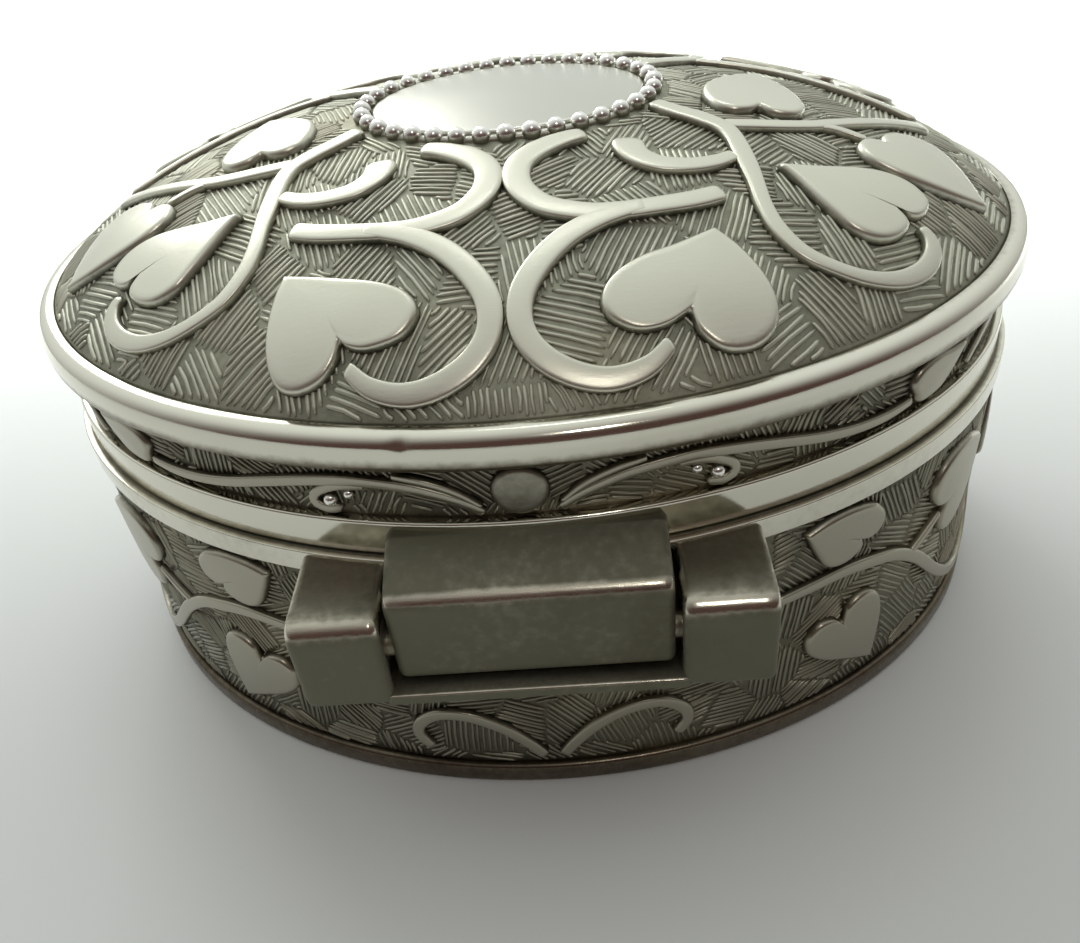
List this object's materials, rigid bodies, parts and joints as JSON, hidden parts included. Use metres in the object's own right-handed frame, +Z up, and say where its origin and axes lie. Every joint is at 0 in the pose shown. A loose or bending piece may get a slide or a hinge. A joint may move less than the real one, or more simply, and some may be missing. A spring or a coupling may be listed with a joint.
{
  "type": "pill box",
  "caption": "Oval hinged pill box with a domed lid, beaded cartouche, polished mouldings and a square knuckle hinge; holds pills or trinkets.",
  "frame": {"origin": "centre of the flat underside, on the surface that the box stands on", "axes": "+Z up through the lid, +X along the long way of the oval, hinge on the -Y side, opening side on +Y"},
  "size_m": [0.0446, 0.0387, 0.0243],
  "materials": {
    "patinated_silver": "dark olive-grey patina in the recesses, brighter on the high points",
    "polished_silver": "polished, fine scratches, slight tarnish",
    "satin_silver": "satin, fine scratches",
    "bright_silver": "bright beads, dark between them",
    "hinge_silver": "worn bright on front faces, dark patina on top faces",
    "hinge_pin_steel": "plain drawn wire"
  },
  "bodies": {
    "base": {"base_wall": "patinated_silver", "base_floor": "satin_silver", "base_top_rim": "polished_silver", "base_foot_rim": "polished_silver", "base_collar": "satin_silver", "hinge_ear_left": "hinge_silver", "hinge_ear_right": "hinge_silver", "hinge_floor_bar": "hinge_silver", "hinge_pin": "hinge_pin_steel"},
    "lid": {"lid_wall": "patinated_silver", "lid_lower_rim": "polished_silver", "lid_rim_moulding": "polished_silver", "lid_dome": "patinated_silver", "lid_thumb_lip": "polished_silver", "cartouche_plate": "satin_silver", "cartouche_bead_ring": "bright_silver", "hinge_lid_knuckle": "hinge_silver"}
  },
  "joints": [
    {"name": "lid_hinge", "type": "hinge", "parent": "base", "child": "lid", "pos_m": [0, -0.01915, 0.0109], "axis": [1, 0, 0], "range_deg": [0, 100]}
  ]
}
